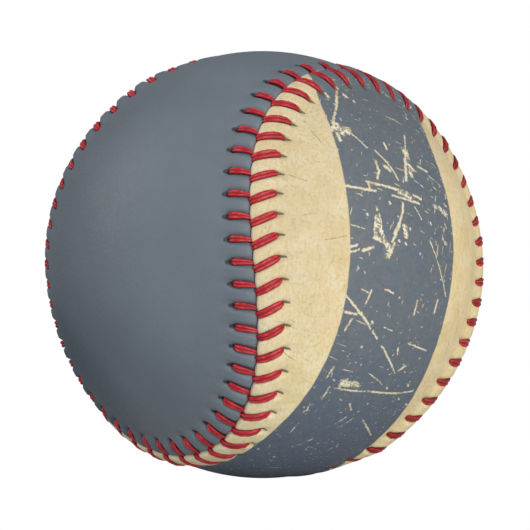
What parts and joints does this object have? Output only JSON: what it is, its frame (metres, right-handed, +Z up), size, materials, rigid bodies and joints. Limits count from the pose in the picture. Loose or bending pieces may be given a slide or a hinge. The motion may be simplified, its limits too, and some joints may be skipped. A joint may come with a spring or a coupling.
{
  "type": "baseball",
  "caption": "Baseball with a cork and rubber pill, wound wool and cotton, and a two-tone leather cover of two interlocking panels, laced with red thread.",
  "frame": {"origin": "centre of the ball", "axes": "+Z up and -Y towards the camera as pictured; the axis through the waists of both cover panels leans 12 degrees from +Z towards +X"},
  "size_m": [0.0776, 0.0776, 0.0764],
  "materials": {
    "cork": "ground cork bound with rubber, open grain",
    "black_rubber": "dull moulded rubber",
    "red_rubber": "dull moulded rubber",
    "grey_wool": "tightly wound wool yarn",
    "white_wool": "tightly wound wool yarn",
    "white_cotton": "fine wound cotton thread",
    "dried_cement": "thin satin film of dried rubber cement",
    "plain_leather": "smooth slate-blue leather, fine grain, low sheen",
    "striped_leather": "cream leather with one broad faded slate-blue stripe, scuffed and speckled",
    "waxed_thread": "waxed two-ply cotton thread"
  },
  "bodies": {
    "root": {"cork_core": "cork", "black_half_shell_left": "black_rubber", "black_half_shell_right": "black_rubber", "red_gasket": "red_rubber", "red_jacket": "red_rubber", "inner_grey_wool": "grey_wool", "white_wool": "white_wool", "outer_grey_wool": "grey_wool", "cotton_winding": "white_cotton", "cement_coat": "dried_cement", "plain_cover_panel": "plain_leather", "striped_cover_panel": "striped_leather", "plain_side_thread": "waxed_thread", "striped_side_thread": "waxed_thread"}
  },
  "joints": []
}
